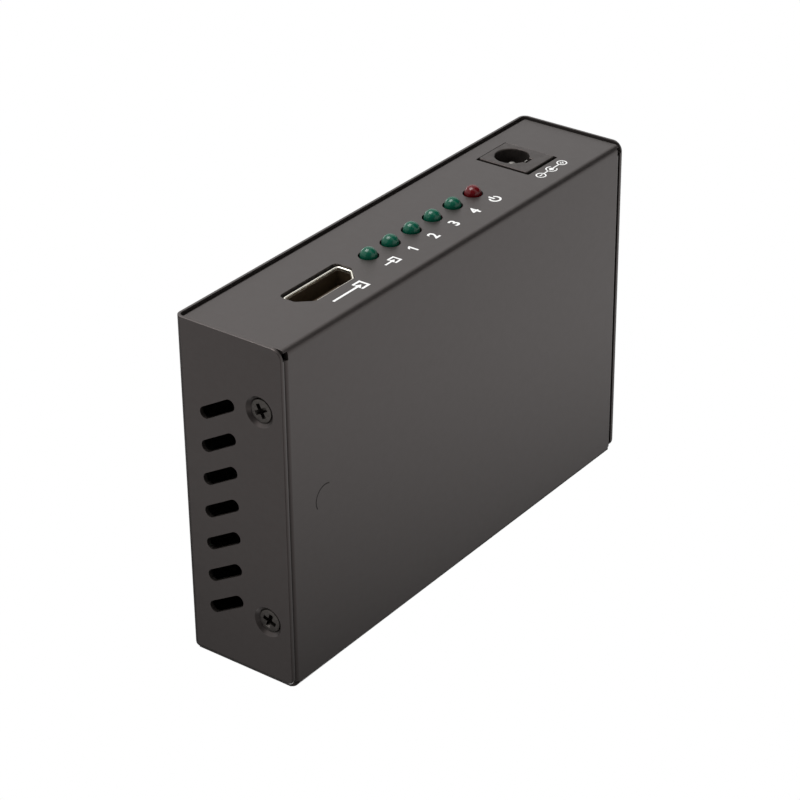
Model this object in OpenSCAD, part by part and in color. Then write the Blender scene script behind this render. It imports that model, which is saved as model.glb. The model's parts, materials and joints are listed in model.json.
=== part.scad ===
// Four-way video splitter in a bent sheet-metal case.
// The case lies on its base: +Z is up, the front panel faces -Y and the input socket is towards -X.
// The origin is the middle of the base's underside. All sizes are in millimetres.

/* [Case] */
// Length of the case over the cover's end flanges
case_l = 98.6; // [92:0.1:130]
// Depth of the case over its front and rear panels
case_d = 64; // [58:0.2:90]
// Height of the case from underside to top
case_h = 21.95; // [20:0.05:32]
// Thickness of the sheet that tray and cover are bent from
sheet_t = 0.8; // [0.6:0.05:1.2]
// Inside radius of the tray's bends
tray_bend_r = 0.3; // [0.2:0.1:0.8]
// Inside radius of the cover's bends
cover_bend_r = 0.6; // [0.1:0.1:0.8]
// Gap between the tray's ends and the cover's flanges
cover_gap = 0.2; // [0.15:0.05:0.5]
// Gap between the panels' top edges and the cover
top_gap = 0.5; // [0.15:0.05:0.8]
// How much less deep the cover is than the case
cover_short = 0.4; // [0:0.1:1]
// How far the cover sits towards the front
cover_shift = 0.55; // [0:0.05:0.8]
// Height of the end flanges' lower edges above the underside
flange_lift = 0.05; // [0.05:0.05:0.5]
// Corner radius at the lower corners of the end flanges
flange_corner_r = 2; // [1:0.1:4]
// Distance of the tray's end walls from the panels' faces, left open as bend relief
relief_l = 2.2; // [1.8:0.1:4]
// Height of the tray's end walls above the underside
end_wall_h = 9; // [8.2:0.1:9.4]

/* [Vents] */
// Number of slots in each end flange
vent_count = 7; // [3:1:8]
// Distance of the first slot's middle from the front edge of the cover
vent_first = 14.7; // [12:0.1:17]
// Distance between slots
vent_pitch = 6.25; // [4.5:0.05:6.4]
// Width of a slot
vent_w = 2.2; // [1.2:0.1:2.6]
// Height of a slot from its lowest to its highest point
vent_h = 7.1; // [5:0.1:8]
// Height of the slots' lowest points above the underside
vent_z = 10.2; // [9.5:0.1:11]
// Lean of the slots towards the rear
vent_lean = 30; // [0:1:35]

/* [Cover screws] */
// Distance of the screws from the front and rear panels
screw_inset = 12; // [9.5:0.1:14]
// Height of the screws above the underside
screw_z = 4.9; // [4.4:0.1:5.4]
// Length of a screw, head included
screw_l = 4.6; // [4:0.1:5.4]
// Thread diameter of a screw
screw_d = 2.9; // [2.4:0.1:3.2]
// Head diameter of a screw
screw_head_d = 4.6; // [4.2:0.1:5.2]
// How far a screw's head lies below the face of the cover
screw_sink = 0.4; // [0:0.05:0.5]
// Radial clearance of the thread in its hole
screw_clear = 0.05; // [0.03:0.01:0.1]
// Clearance round the head in its countersink
head_clear = 0.1; // [0.1:0.05:0.3]
// Length of the collar drawn inwards round each screw's hole
collar_l = 1; // [0.5:0.1:1.5]
// Thickness of the collar's wall
collar_t = 0.6; // [0.4:0.1:0.9]

/* [Circuit board] */
// Thickness of the board
board_t = 1.6; // [1:0.1:2]
// Height of the board's lower face above the tray's floor
standoff_h = 4.6; // [4.2:0.1:5]
// Gap between the board's edges and the panels
board_gap = 0.8; // [0.4:0.1:1.5]
// Gap between the board's ends and the tips of the cover screws
board_end_gap = 0.6; // [0.4:0.1:1.5]
// Distance of the standoffs from the ends of the case
standoff_inset = 10.1; // [9:0.1:12]
// Diameter of a standoff's post
standoff_d = 5; // [4.4:0.1:5.5]
// Diameter of a standoff's foot, pressed into the base
standoff_foot_d = 6; // [5.8:0.1:7]
// Thread diameter of a board screw
board_screw_d = 2.5; // [2:0.1:2.8]
// Head diameter of a board screw
board_screw_head_d = 4.8; // [4.2:0.1:5.4]
// Head height of a board screw
board_screw_head_h = 1.6; // [1:0.1:2.4]

/* [Sockets] */
// Width of a video socket's mouth at its wide top
mouth_w = 14; // [12:0.1:15]
// Width of the mouth at its narrow bottom
mouth_low_w = 10; // [9.6:0.1:11]
// Height of the mouth
mouth_h = 4.55; // [4.2:0.05:5.4]
// Height of the mouth's sloping lower corners
mouth_slope_h = 1.9; // [1.2:0.1:2.4]
// Thickness of the plated shell
shell_t = 0.3; // [0.2:0.05:0.4]
// Depth of the shell's back behind the panel's face
shell_l = 11; // [9:0.5:14]
// How far the shell lies behind the panel's face
shell_set = 0.1; // [0:0.05:0.5]
// Gap between the shell and the panel's cut-out at the sides and below
port_gap = 0.2; // [0.1:0.05:0.3]
// Extra gap above the shell in the panel's cut-out
port_gap_top = 0.4; // [0:0.1:0.8]
// Width of the tongue that carries the contacts
tongue_w = 11; // [10.4:0.1:12]
// Thickness of the tongue
tongue_t = 1.2; // [0.9:0.1:1.5]
// How far the tongue lies behind the mouth
tongue_set = 2.4; // [0.8:0.1:3]
// Distance of the input socket from the left end of the case
input_x = 22.6; // [19:0.1:24]
// Distance between the output sockets
output_pitch = 20; // [17:0.5:21]

/* [LEDs] */
// Distance of the first LED from the left end of the case
led_x = 35.5; // [34:0.1:36]
// Distance between LEDs
led_pitch = 6; // [5:0.1:6.4]
// Height of the LEDs above the board
led_h = 2.9; // [2.5:0.1:4]
// Diameter of an LED's dome
led_d = 3; // [2.6:0.1:3.2]
// Diameter of the panel's LED holes
led_hole_d = 3.6; // [3.5:0.1:4]
// How far a dome stands out of the panel
led_proud = 1.5; // [1.2:0.1:2.6]
// Length of an LED's body
led_l = 5.3; // [4.8:0.1:6.5]
// Thickness of an LED's lead
led_lead_t = 0.5; // [0.4:0.05:0.6]

/* [DC inlet] */
// Distance of the inlet's hole from the left end of the case
jack_x = 82.4; // [77:0.1:83]
// Width of the inlet's face
jack_w = 8.6; // [8.1:0.1:10]
// Height of the inlet above the board
jack_h = 10.6; // [10.2:0.1:12]
// Depth of the inlet
jack_l = 14; // [12.5:0.5:18]
// Depth of the block behind the inlet's face
jack_block_l = 3.4; // [2:0.1:5]
// How far the inlet's face stands out of the panel
jack_proud = 0.1; // [0:0.05:0.5]
// Height of the hole's centre above the board
jack_axis_h = 6.25; // [6:0.05:6.6]
// Diameter of the hole
jack_hole_d = 6.3; // [6:0.1:6.6]
// Depth of the hole
jack_hole_l = 10; // [9:0.5:11]
// Diameter of the centre pin
jack_pin_d = 2.1; // [1.3:0.1:2.5]
// How far the pin's tip lies behind the face
jack_pin_set = 1.2; // [0.8:0.1:3]
// Gap round the inlet in the panel's cut-out, right of it and above
jack_gap = 0.1; // [0.1:0.05:0.3]
// Gap round the inlet in the panel's cut-out, left of it and below
jack_gap_wide = 0.65; // [0.2:0.05:0.8]
// How far the tip of the sprung contact leaf lies behind the face
leaf_set = 0.15; // [0.1:0.05:3]
// Width of the leaf
leaf_w = 1.6; // [1.2:0.1:2.4]
// Thickness of the leaf
leaf_t = 0.25; // [0.2:0.05:0.35]
// How far the leaf reaches into the hole
leaf_reach = 0.4; // [0.3:0.05:0.6]
// Room for the leaf to move down
leaf_room = 0.35; // [0.32:0.01:0.6]
// Gap round the leaf in its slot
leaf_gap = 0.2; // [0.1:0.05:0.3]

/* [Board components] */
// Side of the splitter chip
chip_w = 14; // [10:0.5:16]
// Height of the chips above the board
chip_h = 1.4; // [0.9:0.1:2]
// Number of pins on each side of the splitter chip
chip_pins = 16; // [8:1:20]
// Side of the inductor
coil_w = 6; // [4:0.5:7]
// Height of the inductor
coil_h = 3; // [2:0.1:4]
// Diameter of the capacitors
cap_d = 5; // [4:0.1:6.3]
// Height of the capacitors
cap_h = 5.4; // [4:0.1:7]

/* [Hidden] */
$fn = 48;
eps = 0.01;
// How far a cut runs past what it cuts
over = 1;
output_count = 4;
led_count = 6;
ports = [for (i = [1 : output_count]) str("output_", i)];
port_pieces = ["shell", "insulator", "contacts"];
screw_names = ["left_front_screw", "left_rear_screw", "right_front_screw", "right_rear_screw"];
led_names = [for (i = [1 : led_count]) str("led_", i)];

paint = [0.17, 0.16, 0.155];
steel = [0.75, 0.74, 0.72];
gold = [0.83, 0.67, 0.33];
black_plastic = [0.08, 0.08, 0.08];

// Faces of the case, worked out from the outside
half_l = case_l / 2;
tray_x = half_l - sheet_t - cover_gap;
panel_y = case_d / 2;
cover_d = case_d - cover_short;
end_wall_y = panel_y - relief_l;
panel_top = case_h - sheet_t - top_gap;
tray_bend_out = tray_bend_r + sheet_t;
cover_bend_out = cover_bend_r + sheet_t;
screw_y = panel_y - screw_inset;

// The board and what stands on it
board_low = sheet_t + standoff_h;
board_top = board_low + board_t;
board_x = half_l - screw_sink - screw_l - board_end_gap;
board_y = panel_y - sheet_t - board_gap;
standoff_x = half_l - standoff_inset;
foot_clear = 0.03;
thread_clear = 0.05;
hole_clear = 0.15;
board_screw_tip_gap = 0.5;

// A crossed recess, as parts of the diameter of its screw's head
recess_arm = 0.3;
recess_half_w = 0.07;
recess_deep = 0.2;

// An LED's rim behind the panel, and its leads
led_rim = 0.4;
led_rim_l = 1;
lead_spread = 1.27;
lead_reach = 1.2;

// The shell's outline grows by the same thickness on its straight and sloping sides
slope_w = (mouth_w - mouth_low_w) / 2;
slope_side = sqrt(slope_w * slope_w + mouth_slope_h * mouth_slope_h);
slope_normal = [mouth_slope_h / slope_side, slope_w / slope_side];
mouth_low = shell_t;
tongue_mid = mouth_low + mouth_slope_h + tongue_t / 2;
insulator_l = 3.5;
insulator_y = shell_l - insulator_l;
tongue_start = shell_set + tongue_set;
contact_pitch = 1;
contact_w = 0.4;
contact_t = 0.12;
contact_set = 0.6;
leg_w = 1.2;
leg_front = 3.6;
leg_back = 2.4;
leg_at = [leg_front, shell_l - leg_back];
leg_reach = 0.6;

// The DC inlet, measured from the face of the panel and the top of the board
jack_r = jack_hole_d / 2;
jack_floor = jack_axis_h - jack_r;
leaf_top = jack_floor + leaf_reach;
leaf_slot_low = leaf_top - leaf_t - leaf_room;
barrel_inset = 0.4;
barrel_r = jack_w / 2 - barrel_inset;
jack_back = jack_l - jack_proud;
jack_hole_end = jack_hole_l - jack_proud;
leaf_tip = leaf_set - jack_proud;
leaf_end = jack_hole_end - leaf_gap;
pin_root_step = 0.3;
pin_root_d = jack_pin_d + 2 * pin_root_step;
tail_w = 1.6;
tail_t = 0.6;
side_tail_y = 7;
side_tail_h = 4;

// What stands on the board: the splitter chip is in the middle, and places are measured from there
pin_reach = 1;
chip_lift = 0.1;
memory_w = 5;
memory_pins = 4;
memory_at = [-18, 2];
regulator_w = 6;
regulator_pins = 3;
regulator_at = [24, 3];
crystal_size = [5, 3.2, 1.2];
crystal_at = [-13, -12];
coil_at = [17, -6];
coil_rim = 0.9;
coil_deep = 0.4;
cap_row = [31, 13];
cap_space = 1.5;
cap_left_at = [-27, 4];
resistor_size = [1.2, 2, 0.55];
resistor_row = 10;

function left_x(from_left) = from_left - half_l;
input_at = left_x(input_x);
jack_at = left_x(jack_x);
led_at = [for (i = [0 : led_count - 1]) left_x(led_x) + i * led_pitch];
// The outputs are numbered from left to right as the rear panel is seen
output_at = [for (i = [0 : output_count - 1]) ((output_count - 1) / 2 - i) * output_pitch];

// Box between two corners
module block(low, high) {
  translate(low) cube(high - low);
}

// Channel of bent sheet along X: a floor of the given width in Y with two walls
module channel(length, width, height, bend_out) {
  module outside(l, w, h, r) {
    union() {
      block([-l / 2, -w / 2, r], [l / 2, w / 2, h]);
      block([-l / 2, -w / 2 + r, 0], [l / 2, w / 2 - r, r + eps]);
      for (side = [-1, 1])
        translate([-l / 2, side * (w / 2 - r), r]) rotate([0, 90, 0]) cylinder(r = r, h = l);
    }
  }
  difference() {
    outside(length, width, height, bend_out);
    translate([0, 0, sheet_t])
      outside(length + 2 * over, width - 2 * sheet_t, height, bend_out - sheet_t);
  }
}

// What is cut off to round one corner of a plate in the YZ plane; the corner is at the origin
module corner_cut(r, y_side, z_side, x_low, x_high) {
  difference() {
    block(
      [x_low, min(-y_side * r, y_side * over), min(-z_side * r, z_side * over)],
      [x_high, max(-y_side * r, y_side * over), max(-z_side * r, z_side * over)]
    );
    translate([x_low - over, -y_side * r, -z_side * r]) rotate([0, 90, 0])
      cylinder(r = r, h = x_high - x_low + 2 * over);
  }
}

// Places its children at the front panel or, turned round, at the rear panel, on the board
module at_front(x) {
  translate([x, -panel_y, board_top]) children();
}
module at_rear(x) {
  translate([x, panel_y, board_top]) rotate([0, 0, 180]) children();
}

// Outline of a video socket's mouth, grown outwards
function mouth_outline(grow) =
  let (
    side = mouth_w / 2 + grow,
    low = mouth_low - grow,
    knee = mouth_low + mouth_slope_h - grow * (1 - slope_normal[0]) / slope_normal[1],
    foot = mouth_low_w / 2 + grow * (1 - slope_normal[1]) / slope_normal[0],
    high = mouth_low + mouth_h + grow
  )
  [[-foot, low], [foot, low], [side, knee], [side, high], [-side, high], [-side, knee]];

// Prism of that outline from y_low to y_high
module mouth_prism(grow, y_low, y_high, lift = 0) {
  translate([0, y_high, lift]) rotate([90, 0, 0])
    linear_extrude(height = y_high - y_low) polygon(mouth_outline(grow));
}

// Panel cut-out for a video socket, wider above the shell
module port_cut() {
  mouth_prism(shell_t + port_gap, -over, sheet_t + over);
  mouth_prism(shell_t + port_gap, -over, sheet_t + over, port_gap_top);
}

// Panel cut-out for the DC inlet
module jack_cut() {
  block(
    [-jack_w / 2 - jack_gap_wide, -over, -jack_gap_wide],
    [jack_w / 2 + jack_gap, sheet_t + over, jack_h + jack_gap]
  );
}

// Countersunk head and thread of a screw that enters along -X at the right end, grown outwards
module screw_body(grow_head, grow_thread, length) {
  head_r = screw_head_d / 2 + grow_head;
  thread_r = screw_d / 2 + grow_thread;
  rotate([0, -90, 0]) union() {
    cylinder(r1 = head_r, r2 = thread_r, h = head_r - thread_r);
    cylinder(r = thread_r, h = length);
  }
}

// Places its children at the screw on the end and side with the given signs
module at_screw(end, side) {
  translate([end * half_l, side * screw_y, screw_z]) rotate([0, 0, end > 0 ? 0 : 180]) children();
}

// Collar drawn inwards from an end wall round a screw's hole
module collar(end, side) {
  translate([end * (tray_x - sheet_t + eps), side * screw_y, screw_z]) rotate([0, -90 * end, 0])
    cylinder(r = screw_d / 2 + screw_clear + collar_t, h = collar_l + eps);
}

module base_tray() {
  color(paint) difference() {
    union() {
      difference() {
        channel(2 * tray_x, 2 * panel_y, panel_top, tray_bend_out);
        // Room for the bends of the end walls, and for the relief notches at the corners
        for (end = [-1, 1])
          block(
            [min(end * (tray_x - tray_bend_out), end * (tray_x + over)), -panel_y - over, -over],
            [max(end * (tray_x - tray_bend_out), end * (tray_x + over)), panel_y + over, tray_bend_out]
          );
      }
      rotate([0, 0, 90]) channel(2 * end_wall_y, 2 * tray_x, end_wall_h, tray_bend_out);
      for (end = [-1, 1], side = [-1, 1]) collar(end, side);
    }
    for (end = [-1, 1], side = [-1, 1])
      at_screw(end, side) screw_body(head_clear + screw_sink, screw_clear, screw_l + over);
    for (end = [-1, 1])
      translate([end * standoff_x, 0, -over])
        cylinder(d = standoff_foot_d + 2 * foot_clear, h = sheet_t + 2 * over);
    at_front(input_at) port_cut();
    for (x = led_at)
      at_front(x) translate([0, -over, led_h]) rotate([-90, 0, 0])
        cylinder(d = led_hole_d, h = sheet_t + 2 * over);
    at_front(jack_at) jack_cut();
    for (x = output_at) at_rear(x) port_cut();
  }
}

// One slanted slot through an end flange, centred on the origin
module vent_slot() {
  half_run = (vent_h - vent_w) / 2 / cos(vent_lean);
  rotate([-vent_lean, 0, 0]) union() {
    block([-sheet_t, -vent_w / 2, -half_run], [sheet_t, vent_w / 2, half_run]);
    for (tip = [-1, 1])
      translate([-sheet_t, 0, tip * half_run]) rotate([0, 90, 0]) cylinder(d = vent_w, h = 2 * sheet_t);
  }
}

module top_cover() {
  flange_h = case_h - flange_lift;
  first_vent_y = vent_first - cover_d / 2 - cover_shift;
  color(paint) difference() {
    translate([0, -cover_shift, case_h]) rotate([180, 0, 90])
      channel(cover_d, case_l, flange_h, cover_bend_out);
    for (end = [-1, 1]) {
      x_low = end > 0 ? half_l - sheet_t - eps : -half_l - eps;
      x_high = x_low + sheet_t + 2 * eps;
      for (side = [-1, 1]) {
        translate([0, side * cover_d / 2 - cover_shift, flange_lift])
          corner_cut(flange_corner_r, side, -1, x_low, x_high);
        at_screw(end, side) screw_body(head_clear + screw_sink, head_clear, screw_l);
      }
      for (i = [0 : vent_count - 1])
        translate([end * (half_l - sheet_t / 2), first_vent_y + i * vent_pitch, vent_z + vent_h / 2])
          vent_slot();
    }
  }
}

// Countersunk screw with a crossed recess in its head
module cover_screw() {
  color(paint) translate([-screw_sink, 0, 0]) difference() {
    screw_body(0, 0, screw_l);
    rotate([0, 90, 0]) cross_recess(screw_head_d);
  }
}

module circuit_board() {
  color([0.05, 0.25, 0.12]) difference() {
    block([-board_x, -board_y, board_low], [board_x, board_y, board_top]);
    for (end = [-1, 1])
      translate([end * standoff_x, 0, board_low - over])
        cylinder(d = board_screw_d + 2 * hole_clear, h = board_t + 2 * over);
    at_front(input_at) shell_legs(hole_clear, -board_t - over, over);
    for (x = output_at) at_rear(x) shell_legs(hole_clear, -board_t - over, over);
  }
}

// Posts whose feet are pressed flush into the base
module board_standoffs() {
  color(steel) for (end = [-1, 1])
    translate([end * standoff_x, 0, 0]) difference() {
      union() {
        cylinder(d = standoff_foot_d, h = sheet_t);
        cylinder(d = standoff_d, h = board_low);
      }
      translate([0, 0, sheet_t]) cylinder(d = board_screw_d + 2 * thread_clear, h = board_low);
    }
}

// Crossed recess cut down into a screw's head; the head's top is at the origin
module cross_recess(head_d) {
  arm = recess_arm * head_d;
  half_w = recess_half_w * head_d;
  for (turn = [0, 90]) rotate([0, 0, turn])
    block([-arm, -half_w, -recess_deep * head_d], [arm, half_w, over]);
}

module board_screws() {
  shank = standoff_h - board_screw_tip_gap + board_t;
  color(steel) for (end = [-1, 1])
    translate([end * standoff_x, 0, board_top]) difference() {
      union() {
        cylinder(d = board_screw_head_d, h = board_screw_head_h);
        translate([0, 0, -shank]) cylinder(d = board_screw_d, h = shank + eps);
      }
      translate([0, 0, board_screw_head_h]) cross_recess(board_screw_head_d);
    }
}

// Two pairs of legs in line with a shell's side walls, grown outwards
module shell_legs(grow, z_low, z_high) {
  for (side = [-1, 1], y = leg_at)
    translate([side * (mouth_w + shell_t) / 2, y, 0])
      block(
        [-shell_t / 2 - grow, -leg_w / 2 - grow, z_low],
        [shell_t / 2 + grow, leg_w / 2 + grow, z_high]
      );
}

// Plated shell that stands on the board, with its legs through the board's slots
module socket_shell() {
  color(steel) union() {
    difference() {
      mouth_prism(shell_t, shell_set, shell_l);
      mouth_prism(0, shell_set - over, shell_l + over);
    }
    shell_legs(0, -board_t - leg_reach, mouth_low + mouth_h);
  }
}

// Moulded block that closes the back of the shell, with the tongue in front of it
module socket_insulator() {
  color(black_plastic) union() {
    mouth_prism(0, insulator_y, shell_l);
    block(
      [-tongue_w / 2, tongue_start, tongue_mid - tongue_t / 2],
      [tongue_w / 2, insulator_y + eps, tongue_mid + tongue_t / 2]
    );
  }
}

// Two rows of contacts that lie on the tongue's faces
module socket_contacts() {
  color(gold) for (row = [-1, 1]) {
    count = row > 0 ? 10 : 9;
    face = tongue_mid + row * tongue_t / 2;
    for (i = [0 : count - 1])
      translate([(i - (count - 1) / 2) * contact_pitch, 0, 0])
        block(
          [-contact_w / 2, tongue_start + contact_set, min(face, face + row * contact_t)],
          [contact_w / 2, insulator_y, max(face, face + row * contact_t)]
        );
  }
}

module socket_piece(piece) {
  if (piece == "shell") socket_shell();
  if (piece == "insulator") socket_insulator();
  if (piece == "contacts") socket_contacts();
}

// Domed LED that lies along Y, with its rim behind the panel
module led(lens) {
  color(lens) translate([0, led_l - led_proud, led_h]) rotate([90, 0, 0]) union() {
    cylinder(d = led_d, h = led_l - led_d / 2);
    cylinder(d = led_d + 2 * led_rim, h = led_rim_l);
    translate([0, 0, led_l - led_d / 2]) sphere(d = led_d);
  }
}

// Bent wires from the back of each LED down into the board
module led_leads() {
  back = led_l - led_proud;
  run = sheet_t + board_gap + lead_reach;
  color(steel) for (x = led_at, side = [-1, 1])
    at_front(x) translate([side * lead_spread, 0, 0]) union() {
      block(
        [-led_lead_t / 2, back, led_h - led_lead_t / 2],
        [led_lead_t / 2, back + run, led_h + led_lead_t / 2]
      );
      block(
        [-led_lead_t / 2, back + run - led_lead_t, 0],
        [led_lead_t / 2, back + run, led_h + led_lead_t / 2]
      );
    }
}

module dc_jack_housing() {
  color(black_plastic) at_front(jack_at) difference() {
    union() {
      block([-jack_w / 2, -jack_proud, 0], [jack_w / 2, jack_block_l, jack_h]);
      block([-barrel_r, 0, 0], [barrel_r, jack_back, jack_axis_h]);
      translate([0, jack_back, jack_axis_h]) rotate([90, 0, 0]) cylinder(r = barrel_r, h = jack_back);
    }
    translate([0, jack_hole_end, jack_axis_h]) rotate([90, 0, 0])
      cylinder(r = jack_r, h = jack_hole_l + over);
    // Hole for the pin's root through the back wall
    translate([0, jack_back + over, jack_axis_h]) rotate([90, 0, 0])
      cylinder(d = pin_root_d + 2 * thread_clear, h = jack_back - jack_hole_end + 2 * over);
    // Slot for the leaf, open at the face
    block(
      [-leaf_w / 2 - leaf_gap, -jack_proud - over, leaf_slot_low],
      [leaf_w / 2 + leaf_gap, jack_hole_end, jack_axis_h]
    );
  }
}

// Round-tipped pin whose thicker root goes through the back wall
module dc_jack_pin() {
  straight = jack_pin_set - jack_proud + jack_pin_d / 2;
  color(steel) at_front(jack_at) translate([0, 0, jack_axis_h]) rotate([-90, 0, 0]) union() {
    translate([0, 0, straight]) sphere(d = jack_pin_d);
    translate([0, 0, straight]) cylinder(d = jack_pin_d, h = jack_hole_end - straight);
    translate([0, 0, jack_hole_end]) cylinder(d = pin_root_d, h = jack_back - jack_hole_end);
  }
}

// Sprung leaf in the floor of the hole, pushed down by a plug
module dc_jack_leaf() {
  color(steel) at_front(jack_at)
    block([-leaf_w / 2, leaf_tip, leaf_top - leaf_t], [leaf_w / 2, leaf_end, leaf_top]);
}

// Solder tails on the back and the side of the inlet, standing on the board
module dc_jack_terminals() {
  color(steel) at_front(jack_at) {
    block([-tail_w / 2, jack_back, 0], [tail_w / 2, jack_back + tail_t, jack_axis_h]);
    block([barrel_r, side_tail_y, 0], [barrel_r + tail_t, side_tail_y + tail_w, side_tail_h]);
  }
}

// Chip with rows of pins on four sides, or on two
module chip(size, pins, four_sided) {
  pitch = size / (pins + 1);
  color(black_plastic) union() {
    block([-size / 2, -size / 2, chip_lift], [size / 2, size / 2, chip_h]);
    for (turn = four_sided ? [0, 90, 180, 270] : [0, 180], i = [1 : pins])
      rotate([0, 0, turn]) translate([-size / 2 + i * pitch, size / 2 - eps, 0])
        block([-pitch / 5, 0, 0], [pitch / 5, pin_reach, chip_h / 2]);
  }
}

module on_board(place) {
  translate([place[0], place[1], board_top]) children();
}

// Box of the given size that stands on the origin
module standing(size) {
  block([-size[0] / 2, -size[1] / 2, 0], [size[0] / 2, size[1] / 2, size[2]]);
}

module splitter_chip() {
  on_board([0, 0]) chip(chip_w, chip_pins, true);
}

module memory_chip() {
  on_board(memory_at) chip(memory_w, memory_pins, false);
}

module voltage_regulator() {
  on_board(regulator_at) chip(regulator_w, regulator_pins, false);
}

module crystal() {
  color(steel) on_board(crystal_at) standing(crystal_size);
}

module inductor() {
  color(black_plastic) on_board(coil_at) difference() {
    standing([coil_w, coil_w, coil_h]);
    translate([0, 0, coil_h - coil_deep]) cylinder(d = coil_w - 2 * coil_rim, h = coil_deep + over);
  }
}

module capacitors() {
  places = [cap_row, cap_row - [cap_d + cap_space, 0], cap_left_at];
  color(steel) for (place = places) on_board(place) cylinder(d = cap_d, h = cap_h);
}

// One resistor behind each LED
module resistors() {
  color(black_plastic) for (x = led_at) on_board([x, -board_y + resistor_row]) standing(resistor_size);
}

base_tray();
top_cover();
for (i = [0 : 3])
  at_screw(i < 2 ? -1 : 1, i % 2 == 0 ? -1 : 1) cover_screw();
circuit_board();
board_standoffs();
board_screws();
for (piece = port_pieces) {
  at_front(input_at) socket_piece(piece);
  for (i = [0 : output_count - 1])
    at_rear(output_at[i]) socket_piece(piece);
}
for (i = [0 : led_count - 1])
  at_front(led_at[i]) led(i == led_count - 1 ? [0.35, 0.02, 0.04] : [0.02, 0.25, 0.14]);
led_leads();
dc_jack_housing();
dc_jack_pin();
dc_jack_leaf();
dc_jack_terminals();
splitter_chip();
memory_chip();
voltage_regulator();
crystal();
inductor();
capacitors();
resistors();
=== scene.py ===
"""Looks of a one-in, four-out video splitter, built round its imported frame. Sizes are in millimetres."""
import json
import math

import bmesh
import bpy
from mathutils import Matrix, Vector

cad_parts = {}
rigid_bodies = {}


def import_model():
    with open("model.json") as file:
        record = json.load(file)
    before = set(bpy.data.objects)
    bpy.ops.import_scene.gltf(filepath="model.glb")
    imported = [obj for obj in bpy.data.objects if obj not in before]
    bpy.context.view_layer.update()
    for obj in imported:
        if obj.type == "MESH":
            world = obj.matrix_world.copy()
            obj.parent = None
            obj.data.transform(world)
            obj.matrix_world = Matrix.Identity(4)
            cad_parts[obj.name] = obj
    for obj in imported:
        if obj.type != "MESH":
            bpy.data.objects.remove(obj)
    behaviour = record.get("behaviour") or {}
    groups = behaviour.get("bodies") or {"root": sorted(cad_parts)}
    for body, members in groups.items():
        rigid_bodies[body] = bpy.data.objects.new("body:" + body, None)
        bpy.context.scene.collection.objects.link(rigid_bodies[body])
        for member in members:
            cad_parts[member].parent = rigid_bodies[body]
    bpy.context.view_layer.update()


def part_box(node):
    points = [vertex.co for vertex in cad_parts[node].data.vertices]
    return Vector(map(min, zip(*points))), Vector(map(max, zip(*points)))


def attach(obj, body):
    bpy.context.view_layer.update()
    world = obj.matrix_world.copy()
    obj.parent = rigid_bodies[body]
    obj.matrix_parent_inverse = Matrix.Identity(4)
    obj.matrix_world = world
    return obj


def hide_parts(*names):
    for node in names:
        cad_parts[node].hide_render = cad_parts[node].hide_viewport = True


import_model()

MM = 0.001


def node_box(node):
    """Lowest and highest corner of a CAD node, in millimetres."""
    low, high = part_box(node)
    return Vector(low) / MM, Vector(high) / MM


# Case: sizes read from the frame, then the sheet's own
tray_high = node_box("base_tray")[1]
cover_low, cover_high = node_box("top_cover")
board_low, board_high = node_box("circuit_board")
TRAY_X = tray_high.x
PANEL_Y = tray_high.y
PANEL_TOP = tray_high.z
CASE_X = cover_high.x
CASE_H = cover_high.z
BOARD_TOP = board_high.z
SHEET = 0.8
TRAY_BEND = 1.1
END_BEND = 0.75
COVER_BEND = 1.4
FRONT_WALL_Y = 30.2
REAR_WALL_Y = 30.85
FRONT_RELIEF = 0.45
REAR_RELIEF = 0.05
FRONT_RISE = 0.15
REAR_RISE = 0.53
REAR_TRIM = 1.2
REAR_WIDER = 0.16
END_WALL_H = 9.0
FRONT_CORNER = 2.0
REAR_CORNER = 1.4
TRAY_EDGE = 0.07
COVER_EDGE = 0.38
FRONT_ROUND = 0.06
END_ROUND = 0.2
REAR_ROUND = 0.6
INNER_ROUND = 0.05
RIM_STEP = 0.7
RIM_EXTRA = 0.12
BEND_STEPS = 8
ROUND_STEPS = 12
AXIS_R = 0.02
OVERLAP = 0.02

# Vents, screws and standoffs
VENTS = 7
VENT_FIRST = 14.7
VENT_PITCH = 6.25
VENT_W = 2.2
VENT_H = 7.1
VENT_LOW = 10.2
VENT_LEAN = math.radians(30)
SCREW_Y = 20.0
SCREW_Z = 4.9
SCREW_HEAD_R = 2.3
SCREW_SINK = 0.4
SCREW_THREAD_R = 1.45
SCREW_L = 4.6
SCREW_PITCH = 0.6
THREAD_DEEP = 0.25
THREAD_FROM = 1.3
CROSS_TURN = 50
CROSS_TURN_STEP = 20
HEAD_GAP = 0.1
THREAD_GAP = 0.05
COLLAR_L = 1.0
COLLAR_WALL = 0.6
COLLAR_SUNK = 0.05
STANDOFF_X = 39.2
POST_R = 2.5

# Sockets
MOUTH_W = 14.0
MOUTH_FOOT_W = 10.0
MOUTH_H = 4.55
MOUTH_SLOPE_H = 1.9
MOUTH_CORNER = 0.45
SHELL_T = 0.3
SOCKET_DEPTH = 10.9
PORT_GAP = 0.2
PORT_GAP_TOP = 0.4
REAR_PORT_GAP = 0.04
TONGUE_W = 11.0
TONGUE_T = 1.2
TONGUE_SET = 2.4
BACK_L = 3.5
LIP_SET = 0.18
LIP_R = 0.21
# Depth at which the dark sleeve of painted shade starts inside a socket
SHADE_SLEEVE_SET = 0.75
CONTACTS = 19
CONTACT_PITCH = 0.5
CONTACT_W = 0.28
CONTACT_PROUD = 0.07
FINGER_X = 3.1
FINGER_FROM = 3.4
FINGER_L = 5.0
FINGER_W = 1.8
FINGER_T = 0.14
FINGER_BOW = 0.42
FINGER_SUNK = 0.06
LEG_X = 6.9
LEG_T = 0.7
LEG_W = 1.2
LEG_PLACES = (2.5, 8.5)
LEG_DROP = 1.2
LEG_RISE = 2.0

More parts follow.
